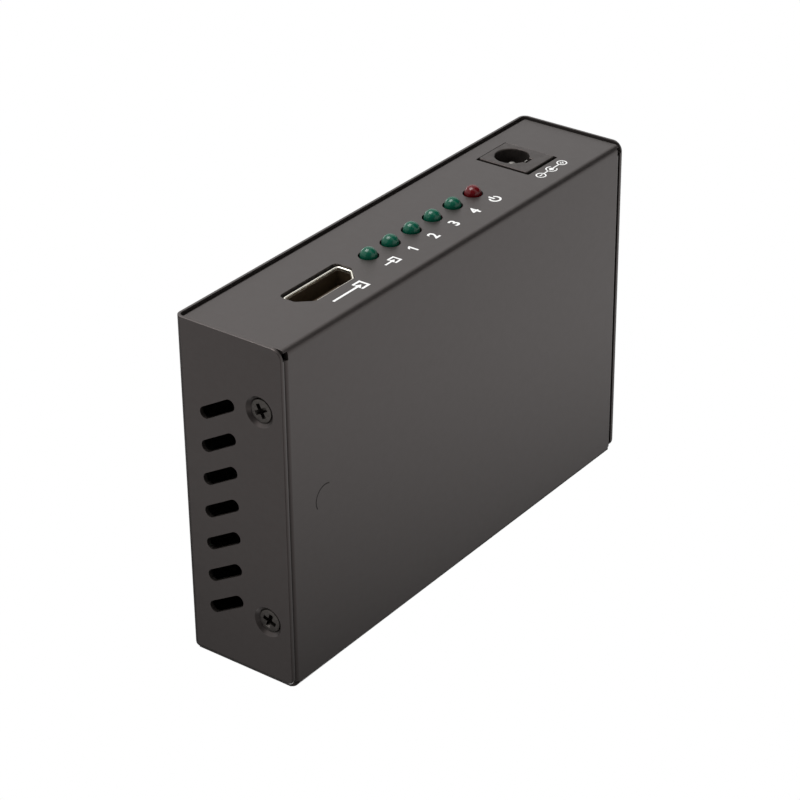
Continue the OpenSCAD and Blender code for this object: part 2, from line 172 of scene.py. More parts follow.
# Lamps in the row and the inlet
LEDS = 6
LED_R = 1.5
LED_HOLE_R = 1.8
LED_RIM_R = 1.9
LED_RIM_L = 1.0
JACK_HOLE_R = 3.15
JACK_AXIS_Z = 13.25
JACK_BLOCK_L = 3.4
JACK_HOLE_DEPTH = 10.0
JACK_BARREL_R = 3.9
JACK_GAP = 0.1
JACK_GAP_WIDE = 0.65
PIN_R = 1.05
PIN_ROOT_R = 1.35
PIN_ROOT_L = 2.2
LEAF_W = 1.6
LEAF_ROOM = 0.7
LEAF_BOW = 0.06
LEAF_DIP = 0.22

# Print
PRINT_T = 0.024
PRINT_EDGE = 0.004
PRINT_PROUD = 0.004
NUMERAL_H = 3.0
REAR_NUMERAL_H = 2.8
INPUT_MARK_Z = 4.35
INLET_MARK_Z = 4.4
LAMP_MARK_Z = 5.4
REAR_MARK_Z = 4.4


# Flat shapes
def spokes(steps):
    """Cosine and sine at even steps round a full turn."""
    step = 2 * math.pi / steps
    return [(math.cos(step * k), math.sin(step * k)) for k in range(steps)]


def circle(x, y, radius, steps=48):
    return [Vector((x + radius * cosine, y + radius * sine)) for cosine, sine in spokes(steps)]


def rectangle(x0, y0, x1, y1):
    return [Vector((x0, y0)), Vector((x1, y0)), Vector((x1, y1)), Vector((x0, y1))]


def rounded(corners, radius, steps=4):
    """The same outline with each corner turned into an arc; radius is one number or one for each corner."""
    radii = [radius] * len(corners) if isinstance(radius, (int, float)) else radius
    outline = []
    for k, corner in enumerate(corners):
        to_last = (corners[k - 1] - corner).normalized()
        to_next = (corners[(k + 1) % len(corners)] - corner).normalized()
        if radii[k] == 0:
            outline.append(corner.copy())
            continue
        half = to_last.angle(to_next) / 2
        centre = corner + (to_last + to_next).normalized() * (radii[k] / math.sin(half))
        first = corner + to_last * (radii[k] / math.tan(half)) - centre
        last = corner + to_next * (radii[k] / math.tan(half)) - centre
        sweep = first.angle_signed(last)
        for step in range(steps + 1):
            outline.append(centre + Matrix.Rotation(-sweep * step / steps, 2) @ first)
    return outline


def slot_outline(first, last, width):
    """A round-ended slot about a line between two points."""
    along = (last - first).normalized() * width / 2
    aside = Vector((along.y, -along.x))
    points = []
    for end, sign in ((last, 1), (first, -1)):
        for step in range(ROUND_STEPS + 1):
            angle = math.pi * step / ROUND_STEPS
            points.append(end + (aside * math.cos(angle) + along * math.sin(angle)) * sign)
    return points


def mouth_outline(x, floor, grow=0.0, lift=0.0, corner=MOUTH_CORNER):
    """Outline of a video socket's mouth in x and z, grown all round and lifted at the top."""
    knee = floor + MOUTH_SLOPE_H
    foot = MOUTH_FOOT_W / 2 + grow * 0.4
    side = MOUTH_W / 2 + grow
    points = [(-foot, floor - grow), (foot, floor - grow), (side, knee - grow * 0.4 + lift)]
    points += [(side, floor + MOUTH_H + grow + lift), (-side, floor + MOUTH_H + grow + lift)]
    points += [(-side, knee - grow * 0.4 + lift)]
    return rounded([Vector((x + px, pz)) for px, pz in points], corner + grow)


# Solids
def tidy_solid(solid):
    bmesh.ops.remove_doubles(solid, verts=solid.verts, dist=1e-4)
    bmesh.ops.recalc_face_normals(solid, faces=solid.faces)
    return solid


def plate(outline, holes, thickness, edge):
    """A flat plate with holes, its middle on z 0 and its edges rounded."""
    curve = bpy.data.curves.new("pattern", "CURVE")
    curve.dimensions = "2D"
    curve.fill_mode = "BOTH"
    curve.extrude = thickness / 2 - edge
    curve.bevel_depth = edge
    curve.bevel_resolution = 2
    curve.offset = -edge
    for loop in [outline] + holes:
        spline = curve.splines.new("POLY")
        spline.points.add(len(loop) - 1)
        for point, place in zip(spline.points, loop):
            point.co = (place.x, place.y, 0, 1)
        spline.use_cyclic_u = True
    return solid_from_curve(curve)


def solid_from_curve(curve):
    holder = bpy.data.objects.new("pattern", curve)
    bpy.context.collection.objects.link(holder)
    bpy.context.view_layer.update()
    mesh = bpy.data.meshes.new_from_object(holder.evaluated_get(bpy.context.evaluated_depsgraph_get()))
    solid = bmesh.new()
    solid.from_mesh(mesh)
    bpy.data.objects.remove(holder)
    bpy.data.curves.remove(curve)
    bpy.data.meshes.remove(mesh)
    return tidy_solid(solid)


def loft(rings, closed=False):
    """A solid skinned over rings with equal counts of points; closed joins the last ring to the first."""
    solid = bmesh.new()
    rows = [[solid.verts.new(point) for point in ring] for ring in rings]
    pairs = list(zip(rows, rows[1:])) + ([(rows[-1], rows[0])] if closed else [])
    for row, after in pairs:
        for k in range(len(row)):
            follow = (k + 1) % len(row)
            solid.faces.new((row[k], row[follow], after[follow], after[k]))
    if not closed:
        solid.faces.new(rows[0])
        solid.faces.new(rows[-1])
    bmesh.ops.recalc_face_normals(solid, faces=solid.faces)
    return solid


def turned_rings(profile, steps):
    """Rings round the z axis, one for each point (radius, height)."""
    rings = []
    for radius, height in profile:
        rings.append([(radius * cosine, radius * sine, height) for cosine, sine in spokes(steps)])
    return rings


def lathe(profile, steps=48):
    """A solid turned round the z axis from points (radius, height), ends closed flat."""
    return loft(turned_rings(profile, steps))


def block(low, high, edge=0.0):
    """A box between two corners, its edges rounded."""
    low = Vector(low)
    high = Vector(high)
    solid = bmesh.new()
    bmesh.ops.create_cube(solid, size=1)
    for vert in solid.verts:
        vert.co = [(low[k] + high[k]) / 2 + vert.co[k] * (high[k] - low[k]) for k in range(3)]
    if edge:
        bmesh.ops.bevel(solid, geom=solid.edges[:], offset=edge, segments=2, profile=0.5, affect="EDGES")
    return solid


def joined(solids):
    """One solid made of several, each keeping its own faces."""
    whole = bmesh.new()
    for solid in solids:
        mesh = bpy.data.meshes.new("part")
        solid.to_mesh(mesh)
        solid.free()
        whole.from_mesh(mesh)
        bpy.data.meshes.remove(mesh)
    return whole


def moved(solid, matrix):
    bmesh.ops.transform(solid, matrix=matrix, verts=solid.verts)
    if matrix.determinant() < 0:
        bmesh.ops.reverse_faces(solid, faces=solid.faces)
    return solid


def shift(x, y, z):
    return Matrix.Translation((x, y, z))


def turn(degrees, axis):
    return Matrix.Rotation(math.radians(degrees), 4, axis)


def piece(name, solid, material, body="case", replaces=(), smooth=40):
    """Makes an object of a solid, with its material and its place in the frame."""
    mesh = bpy.data.meshes.new(name)
    bmesh.ops.scale(solid, vec=(MM, MM, MM), verts=solid.verts)
    solid.to_mesh(mesh)
    solid.free()
    mesh.materials.append(material)
    mesh.set_sharp_from_angle(angle=math.radians(smooth))
    made = bpy.data.objects.new(name, mesh)
    bpy.context.collection.objects.link(made)
    for face in mesh.polygons:
        face.use_smooth = True
    normals = made.modifiers.new("normals", "WEIGHTED_NORMAL")
    normals.keep_sharp = True
    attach(made, body)
    if replaces:
        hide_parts(*replaces)


# Materials
def shader(name, roughness, metallic=0.0):
    material = bpy.data.materials.new(name)
    material.use_nodes = True
    principled = material.node_tree.nodes["Principled BSDF"]
    principled.inputs["Roughness"].default_value = roughness
    principled.inputs["Metallic"].default_value = metallic
    return material, material.node_tree, principled


def noise(tree, size, detail=2.0):
    """Noise fixed to the object, with spots of about one size."""
    place = tree.nodes.new("ShaderNodeTexCoord")
    texture = tree.nodes.new("ShaderNodeTexNoise")
    texture.inputs["Scale"].default_value = 1 / (size * MM)
    texture.inputs["Detail"].default_value = detail
    tree.links.new(place.outputs["Object"], texture.inputs["Vector"])
    return texture


def mottled(tree, principled, size, dark, light):
    """Base colour that wanders between two shades."""
    ramp = tree.nodes.new("ShaderNodeValToRGB")
    ramp.color_ramp.elements[0].position = 0.35
    ramp.color_ramp.elements[0].color = (*dark, 1)
    ramp.color_ramp.elements[1].position = 0.65
    ramp.color_ramp.elements[1].color = (*light, 1)
    tree.links.new(noise(tree, size).outputs["Fac"], ramp.inputs["Fac"])
    tree.links.new(ramp.outputs["Color"], principled.inputs["Base Color"])


def worn(tree, principled, size, smoothest, roughest):
    """Roughness that wanders between two values."""
    span = tree.nodes.new("ShaderNodeMapRange")
    span.inputs["From Min"].default_value = 0.35
    span.inputs["From Max"].default_value = 0.65
    span.inputs["To Min"].default_value = smoothest
    span.inputs["To Max"].default_value = roughest
    tree.links.new(noise(tree, size).outputs["Fac"], span.inputs["Value"])
    tree.links.new(span.outputs["Result"], principled.inputs["Roughness"])


def grained(tree, principled, size, height, detail=2.0):
    """Fine relief on the surface, height in millimetres."""
    bump = tree.nodes.new("ShaderNodeBump")
    bump.inputs["Distance"].default_value = height * MM
    tree.links.new(noise(tree, size, detail).outputs["Fac"], bump.inputs["Height"])
    tree.links.new(bump.outputs["Normal"], principled.inputs["Normal"])


def coated(name, dark, light, smoothest, roughest, spot, relief,
           metallic=0.0, specular=0.5, tint=(1, 1, 1)):
    """A material with its own wandering colour, gloss and relief."""
    material, tree, principled = shader(name, roughest, metallic)
    principled.inputs["Specular IOR Level"].default_value = specular
    principled.inputs["Specular Tint"].default_value = (*tint, 1)
    mottled(tree, principled, spot, dark, light)
    worn(tree, principled, spot * 1.7, smoothest, roughest)
    grained(tree, principled, spot * 0.5, relief)
    return material


def tinted_resin(name, colour):
    """Clear coloured resin of a lamp."""
    material, tree, principled = shader(name, 0.2)
    principled.inputs["IOR"].default_value = 1.5
    principled.inputs["Transmission Weight"].default_value = 0.3
    principled.inputs["Specular IOR Level"].default_value = 0.25
    mottled(tree, principled, 2.0, [c * 0.9 for c in colour], colour)
    grained(tree, principled, 0.6, 0.002)
    return material


WARM = (1.0, 0.86, 0.83)
paint = coated("case_paint", (0.017, 0.015, 0.014), (0.019, 0.017, 0.016), 0.36, 0.38, 1.2, 0.0012,
               specular=0.62, tint=WARM)
# Dark dull paint, used only for the painted shade of the seam round the left standoff's foot
seam_shade_paint = coated("seam_shade_paint", (0.008, 0.007, 0.006), (0.012, 0.011, 0.010), 0.50, 0.60, 0.4, 0.004,
                    specular=0.2, tint=WARM)
screw_black = coated("screw_black", (0.058, 0.053, 0.049), (0.080, 0.073, 0.068), 0.32, 0.44, 0.3, 0.004,
                     metallic=1.0)
nickel = coated("nickel_plate", (0.86, 0.83, 0.73), (0.93, 0.90, 0.81), 0.32, 0.38, 1.5, 0.002, 1.0)
gold = coated("gold_plate", (0.80, 0.55, 0.18), (0.90, 0.64, 0.24), 0.22, 0.32, 0.8, 0.001, 1.0)
black_plastic = coated("black_plastic", (0.014, 0.012, 0.011), (0.020, 0.017, 0.015), 0.38, 0.48, 0.9,
                       0.004, tint=WARM)
socket_plastic = coated("socket_plastic", (0.030, 0.019, 0.010), (0.042, 0.027, 0.014), 0.50, 0.60, 0.9,
                        0.003, specular=0.3)
chip_black = coated("chip_black", (0.016, 0.016, 0.017), (0.026, 0.026, 0.027), 0.48, 0.62, 0.4, 0.004)
steel = coated("steel", (0.62, 0.62, 0.60), (0.74, 0.74, 0.72), 0.22, 0.34, 1.0, 0.002, 1.0)
spring_steel = coated("spring_steel", (0.20, 0.19, 0.18), (0.28, 0.27, 0.25), 0.30, 0.42, 0.8, 0.002, 1.0)
can = coated("aluminium_can", (0.42, 0.43, 0.44), (0.52, 0.53, 0.54), 0.40, 0.52, 1.4, 0.003, 1.0)
board_green = coated("board_green", (0.010, 0.070, 0.028), (0.016, 0.105, 0.042), 0.30, 0.42, 1.1, 0.006)
print_white = coated("print_white", (0.80, 0.80, 0.79), (0.88, 0.88, 0.87), 0.45, 0.55, 0.5, 0.002)
led_green = tinted_resin("led_green", (0.002, 0.115, 0.066))
led_red = tinted_resin("led_red", (0.15, 0.003, 0.006))


# Bent sheets
def bend_arc(bend):
    return (bend - SHEET / 2) * math.pi / 2


def flat_at(height, start, bend):
    """Place on the flat sheet of a point at some height on the wall past a bend."""
    return start + bend_arc(bend) + height - bend


def bent(run, depth, start, bend):
    """Place across and up of a flat sheet's point, run past a bend's start and depth in from its face."""
    if run <= 0:
        return start + run, depth
    angle = min(run / bend_arc(bend), 1) * math.pi / 2
    past = max(run - bend_arc(bend), 0)
    reach = bend - depth
    return start + reach * math.sin(angle), bend - reach * math.cos(angle) + past


def cut_bend(solid, axis, start, bend):
    """Cuts the flat sheet across where it will bend."""
    normal = Vector((0, 0, 0))
    normal[axis] = 1
    for side in (-1, 1):
        for step in range(BEND_STEPS + 1):
            place = normal * side * (start + bend_arc(bend) * step / BEND_STEPS)
            everything = solid.verts[:] + solid.edges[:] + solid.faces[:]
            bmesh.ops.bisect_plane(solid, geom=everything, plane_co=place, plane_no=normal, dist=1e-5)


def countersink(solid, centres, radius, deepest):
    """Narrows round holes with depth, as a cone of 45 degrees."""
    for vert in solid.verts:
        depth = vert.co.z + SHEET / 2
        narrower = min(depth, deepest)
        for centre in centres:
            away = vert.co.xy - centre
            if away.length < radius + 0.1:
                vert.co.xy -= away * (narrower / away.length)


def square_edges(solid, lines, radius, edge):
    """Takes the rounding off the edges of round or slotted holes, given by their middle lines."""
    for vert in solid.verts:
        for first, last in lines:
            run = last - first
            along = (vert.co.xy - first).dot(run) / max(run.length_squared, 1e-9)
            away = vert.co.xy - first - run * max(0.0, min(1.0, along))
            if radius - 0.01 < away.length < radius + edge * 1.1:
                vert.co.xy += away * (radius / away.length - 1)


def thin_rim(solid, half_x, front, rear, edge):
    """Steps the cover's front edge back on the inside, and rounds each edge's outside by its own depth."""
    middle = (front + rear) / 2
    for vert in solid.verts:
        place = Vector((vert.co.x, vert.co.y - middle))
        corner = FRONT_CORNER if place.y < 0 else REAR_CORNER
        core = Vector((half_x - corner, (rear - front) / 2 - corner))
        nearest = Vector([max(-core[k], min(core[k], place[k])) for k in range(2)])
        out = place - nearest
        inset = corner - out.length
        if inset > edge * 1.05:
            continue
        way = out.normalized()
        faces_front = way.y < -0.1
        if vert.co.z > 0:
            wanted = RIM_STEP if faces_front else inset * INNER_ROUND / edge
        else:
            other = FRONT_ROUND if way.y < 0 else REAR_ROUND
            wanted = inset * (END_ROUND + (other - END_ROUND) * abs(way.y)) / edge
        if faces_front and abs(vert.co.z) < SHEET / 2 - edge + 0.01:
            vert.co.z += RIM_EXTRA
        vert.co.xy += way * (inset - wanted)


def screw_places(start, bend, drop):
    """Centres of the four screw holes on a flat sheet; drop is their height on the wall past the bend."""
    across = flat_at(drop, start, bend)
    return [Vector((end * across, side * SCREW_Y)) for end in (-1, 1) for side in (-1, 1)]


def port_holes(start):
    """Holes of both panels of the tray, on its flat sheet."""
    holes = []
    for node, front in SOCKETS.items():
        low, high = node_box(node + "_shell")
        grow = SHELL_T + (PORT_GAP if front else REAR_PORT_GAP)
        lift = PORT_GAP_TOP if front else REAR_PORT_GAP
        loop = mouth_outline((low.x + high.x) / 2, high.z - SHELL_T - MOUTH_H, grow, lift)
        holes.append((loop, -1 if front else 1))
    for number in range(LEDS):
        low, high = node_box(f"led_{number + 1}")
        middle = (low + high) / 2
        holes.append((circle(middle.x, middle.z, LED_HOLE_R), -1))
    low, high = node_box("dc_jack_housing")
    corners = rectangle(low.x - JACK_GAP_WIDE, low.z - JACK_GAP_WIDE, high.x + JACK_GAP, high.z + JACK_GAP)
    holes.append((rounded(corners, 0.3), -1))
    return [[Vector((p.x, side * flat_at(p.y, start, TRAY_BEND))) for p in loop] for loop, side in holes]


def tray_corner(wall_end, relief, rise, trim, wider):
    """Quarter of the flat tray's outline: end wall, relief notch (a share of the bend) and panel."""
    start_x = TRAY_X - END_BEND
    start_y = PANEL_Y - TRAY_BEND
    relief_end = start_y + bend_arc(TRAY_BEND) * relief
    end_top = flat_at(END_WALL_H, start_x, END_BEND)
    panel_top = flat_at(PANEL_TOP + rise, start_y, TRAY_BEND)
    panel_x = TRAY_X + wider
    points = [(end_top, wall_end), (start_x, wall_end), (start_x, relief_end), (panel_x, relief_end + trim)]
    return points + [(panel_x, panel_top)]


def tray_solid():
    """Base, both panels and both low end walls, folded from one sheet."""
    start_x = TRAY_X - END_BEND
    start_y = PANEL_Y - TRAY_BEND
    rear = tray_corner(REAR_WALL_Y, REAR_RELIEF, REAR_RISE, REAR_TRIM, REAR_WIDER)
    front = tray_corner(FRONT_WALL_Y, FRONT_RELIEF, FRONT_RISE, 0.0, 0.0)
    outline = [Vector(p) for p in rear]
    outline += [Vector((-x, y)) for x, y in reversed(rear)]
    outline += [Vector((-x, -y)) for x, y in front]
    outline += [Vector((x, -y)) for x, y in reversed(front)]
    thread_hole = SCREW_THREAD_R + THREAD_GAP
    cone = SCREW_HEAD_R + HEAD_GAP + SCREW_SINK - (CASE_X - TRAY_X)
    screws = screw_places(start_x, END_BEND, SCREW_Z)
    holes = port_holes(start_y) + [circle(p.x, p.y, cone) for p in screws]
    solid = plate(outline, holes, SHEET, TRAY_EDGE)
    countersink(solid, screws, cone, cone - thread_hole)
    cut_bend(solid, 1, start_y, TRAY_BEND)
    cut_bend(solid, 0, start_x, END_BEND)
    for vert in solid.verts:
        x, y, depth = vert.co.x, vert.co.y, vert.co.z + SHEET / 2
        if abs(y) > start_y:
            across, up = bent(abs(y) - start_y, depth, start_y, TRAY_BEND)
            vert.co = (x, math.copysign(across, y), up)
        else:
            across, up = bent(abs(x) - start_x, depth, start_x, END_BEND)
            vert.co = (math.copysign(across, x), y, up)
    return tidy_solid(solid)


def collar(end, y):
    """Raised thread collar on the inner face of an end wall."""
    inner = SCREW_THREAD_R + THREAD_GAP
    outer = inner + COLLAR_WALL
    top = COLLAR_L + COLLAR_SUNK
    outer_cut = 0.2
    inner_cut = 0.1
    profile = [(inner, 0), (outer, 0), (outer, top - outer_cut), (outer - outer_cut, top)]
    profile += [(inner + inner_cut, top), (inner, top - inner_cut)]
    ring_solid = loft(turned_rings(profile, 32), closed=True)
    face = end * (TRAY_X - SHEET + COLLAR_SUNK)
    return moved(ring_solid, shift(face, y, SCREW_Z) @ turn(-90 * end, "Y"))


def cover_solid():
    """Top and both end flanges, folded from one sheet."""
    start = CASE_X - COVER_BEND
    end = flat_at(CASE_H - cover_low.z, start, COVER_BEND)
    front = cover_low.y
    rear = cover_high.y
    corners = [FRONT_CORNER, FRONT_CORNER, REAR_CORNER, REAR_CORNER]
    outline = rounded(rectangle(-end, front, end, rear), corners, 8)
    screws = screw_places(start, COVER_BEND, CASE_H - SCREW_Z)
    head = SCREW_HEAD_R + HEAD_GAP + SCREW_SINK
    holes = [circle(p.x, p.y, head, 64) for p in screws]
    vent_across = flat_at(CASE_H - VENT_LOW - VENT_H / 2, start, COVER_BEND)
    vent_half = (VENT_H / math.cos(VENT_LEAN) - VENT_W) / 2
    vents = []
    for side in (-1, 1):
        reach = Vector((-side * math.cos(VENT_LEAN), math.sin(VENT_LEAN))) * vent_half
        for number in range(VENTS):
            centre = Vector((side * vent_across, front + VENT_FIRST + VENT_PITCH * number))
            vents.append((centre - reach, centre + reach))
    holes += [slot_outline(first, last, VENT_W) for first, last in vents]
    solid = plate(outline, holes, SHEET, COVER_EDGE)
    thin_rim(solid, end, front, rear, COVER_EDGE)
    square_edges(solid, vents, VENT_W / 2, COVER_EDGE)
    square_edges(solid, [(p, p) for p in screws], head, COVER_EDGE)
    countersink(solid, screws, head, SHEET)
    cut_bend(solid, 0, start, COVER_BEND)
    for vert in solid.verts:
        x, y, depth = vert.co.x, vert.co.y, vert.co.z + SHEET / 2
        across, up = bent(abs(x) - start, depth, start, COVER_BEND)
        vert.co = (math.copysign(across, x), y, CASE_H - up)
    return tidy_solid(solid)


# Smaller pieces
def cut_away(solid, cutter):
    """The solid less the cutter."""
    holders = []
    for shape in (solid, cutter):
        mesh = bpy.data.meshes.new("shape")
        shape.to_mesh(mesh)
        shape.free()
        holder = bpy.data.objects.new("shape", mesh)
        bpy.context.collection.objects.link(holder)
        holders.append(holder)
    cut = holders[0].modifiers.new("cut", "BOOLEAN")
    cut.operation = "DIFFERENCE"
    cut.solver = "EXACT"
    cut.object = holders[1]
    bpy.context.view_layer.update()
    mesh = bpy.data.meshes.new_from_object(holders[0].evaluated_get(bpy.context.evaluated_depsgraph_get()))
    left = bmesh.new()
    left.from_mesh(mesh)
    bpy.data.meshes.remove(mesh)
    for holder in holders:
        old = holder.data
        bpy.data.objects.remove(holder)
        bpy.data.meshes.remove(old)
    return left


def cross_recess():
    """Tapered cross that a driver fits, its wide end upwards."""
    rings = []
    for arm, half, height in ((1.5, 0.45, 0.25), (1.35, 0.4, 0.0), (0.7, 0.26, -1.15)):
        ring = []
        for quarter in range(4):
            spin = Matrix.Rotation(quarter * math.pi / 2, 2)
            for corner in ((half, half), (half, arm), (-half, arm)):
                place = spin @ Vector(corner)
                ring.append((place.x, place.y, height))
        rings.append(ring)
    return loft(rings)


def screw_solid():
    """Countersunk screw along z, its head's face on z 0."""
    shank = SCREW_THREAD_R - THREAD_DEEP
    head = [(AXIS_R, 0.0), (SCREW_HEAD_R - 0.45, -0.01), (SCREW_HEAD_R - 0.27, -0.06)]
    head += [(SCREW_HEAD_R - 0.18, -0.18), (SCREW_HEAD_R - 0.25, -0.34)]
    head += [(shank, -1.2), (shank, -2.0), (AXIS_R, -2.0)]
    recessed = cut_away(lathe(head, 64), cross_recess())
    around = 24
    along = 44
    rings = []
    for row in range(along + 1):
        height = -THREAD_FROM - (SCREW_L - THREAD_FROM) * row / along
        tip = min(1.0, (height + SCREW_L) / 0.7 + 0.45)
        ring = []
        for k in range(around):
            wave = (height / SCREW_PITCH + k / around) % 1.0
            radius = (shank + THREAD_DEEP * (1 - abs(2 * wave - 1))) * tip
            angle = 2 * math.pi * k / around
            ring.append((radius * math.cos(angle), radius * math.sin(angle), height))
        rings.append(ring)
    return joined([recessed, loft(rings)])


def shell_solid(x, floor):
    """Plated shell of a video socket, its mouth at y 0 and its depth along y."""
    path = [(SHELL_T, SOCKET_DEPTH), (SHELL_T, LIP_SET + 0.8)]
    for step in range(7):
        angle = math.pi * step / 6
        path.append((LIP_R * (1 + math.cos(angle)), LIP_SET + LIP_R * (1 - math.sin(angle))))
    path.append((0.0, SOCKET_DEPTH))
    rings = []
    for grow, y in path:
        rings.append([(p.x, y, p.y) for p in mouth_outline(x, floor, grow)])
    solids = [loft(rings, closed=True)]
    for side in (-1, 1):
        solids.append(spring_finger(x + side * FINGER_X, floor, 1))
        solids.append(spring_finger(x + side * FINGER_X, floor + MOUTH_H, -1))
        leg_x = x + side * LEG_X
        for y in LEG_PLACES:
            low = (leg_x - LEG_T / 2, y - LEG_W / 2, BOARD_TOP - LEG_DROP)
            high = (leg_x + LEG_T / 2, y + LEG_W / 2, floor + LEG_RISE)
            solids.append(block(low, high, 0.08))
    return joined(solids)


def spring_finger(x, wall, inward):
    """Leaf spring that bows in from a wall of a shell."""
    rings = []
    left = x - FINGER_W / 2
    right = x + FINGER_W / 2
    for step in range(ROUND_STEPS + 1):
        y = FINGER_FROM + FINGER_L * step / ROUND_STEPS
        dip = FINGER_BOW * math.sin(math.pi * (step / ROUND_STEPS)) ** 1.5
        low = wall + inward * (dip - FINGER_SUNK)
        high = low + FINGER_T
        rings.append([(left, y, low), (right, y, low), (right, y, high), (left, y, high)])
    return loft(rings)


def insulator_solid(x, floor):
    """Back wall, contact tongue and a dark shell lining of painted shade for a video socket, the mouth at y
    0.
    """
    back_start = SOCKET_DEPTH - BACK_L
    back = []
    for y, grow in ((back_start, -0.25), (back_start + 0.2, -0.05), (SOCKET_DEPTH, -0.05)):
        back.append([(p.x, y, p.y) for p in mouth_outline(x, floor, grow)])
    middle = floor + MOUTH_SLOPE_H + TONGUE_T / 2
    low = (x - TONGUE_W / 2, TONGUE_SET, middle - TONGUE_T / 2)
    high = (x + TONGUE_W / 2, back_start + 0.3, middle + TONGUE_T / 2)
    # Dark sleeve lining the shell's inside: painted shade in the socket's depth
    shade_sleeve = []
    for y, grow in ((SHADE_SLEEVE_SET, -0.02), (SOCKET_DEPTH, -0.02), (SOCKET_DEPTH, -0.1), (SHADE_SLEEVE_SET, -0.06)):
        shade_sleeve.append([(p.x, y, p.y) for p in mouth_outline(x, floor, grow)])
    return joined([loft(back), loft(shade_sleeve, closed=True), block(low, high, 0.22)])


def contacts_solid(x, floor):
    """Two rows of contact strips on the tongue."""
    middle = floor + MOUTH_SLOPE_H + TONGUE_T / 2
    strips = []
    for number in range(CONTACTS):
        top = number % 2 == 0
        strip_x = x + (number - (CONTACTS - 1) / 2) * CONTACT_PITCH
        face = middle + (TONGUE_T / 2 if top else -TONGUE_T / 2)
        low = (strip_x - CONTACT_W / 2, TONGUE_SET + 0.5, face - CONTACT_PROUD)
        high = (strip_x + CONTACT_W / 2, SOCKET_DEPTH - BACK_L + 0.1, face + CONTACT_PROUD)
        strips.append(block(low, high, 0.03))
    return joined(strips)


def led_solid(length):
    """Domed lamp along z, its back on z 0."""
    profile = [(AXIS_R, 0.0), (LED_RIM_R - 0.1, 0.0), (LED_RIM_R, 0.1), (LED_RIM_R, LED_RIM_L - 0.1)]
    profile += [(LED_RIM_R - 0.1, LED_RIM_L), (LED_R, LED_RIM_L)]
    dome = length - LED_R
    for step in range(11):
        angle = math.pi / 2 * step / 10
        profile.append((max(LED_R * math.cos(angle), AXIS_R), dome + LED_R * math.sin(angle)))
    return lathe(profile, 40)


def led_frame_solid(length):
    """Post and die cup that sit inside a lamp."""
    cup = [(AXIS_R, 0.9), (0.42, 0.9), (0.62, length - 2.35), (0.5, length - 2.3)]
    cup += [(0.3, length - 2.6), (AXIS_R, length - 2.6)]
    post = block((-1.05, -0.25, 0.3), (-0.75, 0.25, length - 2.4), 0.05)
    return joined([lathe(cup, 24), post])


def jack_solid():
    """Moulded block of the inlet: a face with its hole, a barrel on a straight foot, and a back wall."""
    low, high = node_box("dc_jack_housing")
    x = (low.x + high.x) / 2
    leaf_low = node_box("dc_jack_leaf")[0]
    notch = LEAF_W / 2 + 0.2
    notch_low = leaf_low.z - LEAF_ROOM
    hole = keyhole(x, JACK_AXIS_Z, JACK_HOLE_R, notch, notch_low)
    face = plate(rounded(rectangle(low.x, low.z, high.x, high.z), 0.5), [hole], JACK_BLOCK_L, 0.22)
    barrel_end = low.y + JACK_HOLE_DEPTH
    barrel_l = barrel_end - low.y - JACK_BLOCK_L
    shoulder = barrel_outline(x, low.z)
    barrel = plate(shoulder, [hole], barrel_l + OVERLAP, 0.005)
    back = plate(shoulder, [circle(x, JACK_AXIS_Z, PIN_ROOT_R + 0.01)], high.y - barrel_end + OVERLAP, 0.2)
    parts = []
    for solid, y in ((face, low.y + JACK_BLOCK_L / 2), (barrel, low.y + JACK_BLOCK_L + barrel_l / 2),
                     (back, (barrel_end + high.y) / 2)):
        parts.append(moved(solid, shift(0, y, 0) @ turn(90, "X")))
    return joined(parts)


def keyhole(x, z, radius, notch, notch_low):
    """Round hole with a notch at its foot."""
    start = math.asin(notch / radius)
    points = []
    steps = 44
    for step in range(steps + 1):
        angle = -math.pi / 2 + start + (2 * math.pi - 2 * start) * step / steps
        points.append(Vector((x + radius * math.cos(angle), z + radius * math.sin(angle))))
    points += [Vector((x - notch, notch_low)), Vector((x + notch, notch_low))]
    return points


def barrel_outline(x, low):
    """Round top over a straight foot."""
    points = [Vector((x - JACK_BARREL_R, low)), Vector((x + JACK_BARREL_R, low))]
    for step in range(25):
        angle = math.pi * step / 24
        across = JACK_BARREL_R * math.cos(angle)
        up = JACK_BARREL_R * math.sin(angle)
        points.append(Vector((x + across, JACK_AXIS_Z + up)))
    return points


def pin_solid(length):
    """Centre pin of the inlet along z, its root on z 0."""
    profile = [(AXIS_R, 0.0), (PIN_ROOT_R, 0.0), (PIN_ROOT_R, PIN_ROOT_L), (PIN_R, PIN_ROOT_L + 0.2)]
    for step in range(9):
        angle = math.pi / 2 * step / 8
        profile.append((max(PIN_R * math.cos(angle), AXIS_R), length - PIN_R + PIN_R * math.sin(angle)))
    return lathe(profile, 32)


def leaf_solid():
    """Sprung strip under the inlet's hole, with a shallow bow."""
    low, high = node_box("dc_jack_leaf")
    rings = []
    thick = high.z - low.z
    for step in range(17):
        along = step / 16
        y = low.y + (high.y - low.y) * along
        taper = 0.4 + 0.6 * min(1.0, along * 6)
        half = (high.x - low.x) / 2 * taper
        middle = (low.x + high.x) / 2
        bow = -LEAF_BOW * math.sin(math.pi * along) - LEAF_DIP * max(0.0, 1 - along * 8) ** 2
        base = low.z + bow
        rings.append([(middle - half, y, base), (middle + half, y, base),
                      (middle + half, y, base + thick), (middle - half, y, base + thick)])
    return loft(rings)


def standoff_solid(x):
    """Post between the base and the board."""
    top = board_low.z
    profile = [(AXIS_R, SHEET), (POST_R, SHEET), (POST_R, top - 0.2), (POST_R - 0.2, top), (AXIS_R, top)]
    return moved(lathe(profile, 48), shift(x, 0, 0))


# Print: plain numerals and symbols
def letters(text, size):
    font = bpy.data.curves.new("print", "FONT")
    font.body = text
    font.size = size
    font.align_x = "CENTER"
    font.align_y = "CENTER"
    font.extrude = PRINT_T / 2
    font.offset = size * 0.022
    return solid_from_curve(font)


def mark(outline, holes=()):
    return plate(outline, list(holes), PRINT_T, PRINT_EDGE)


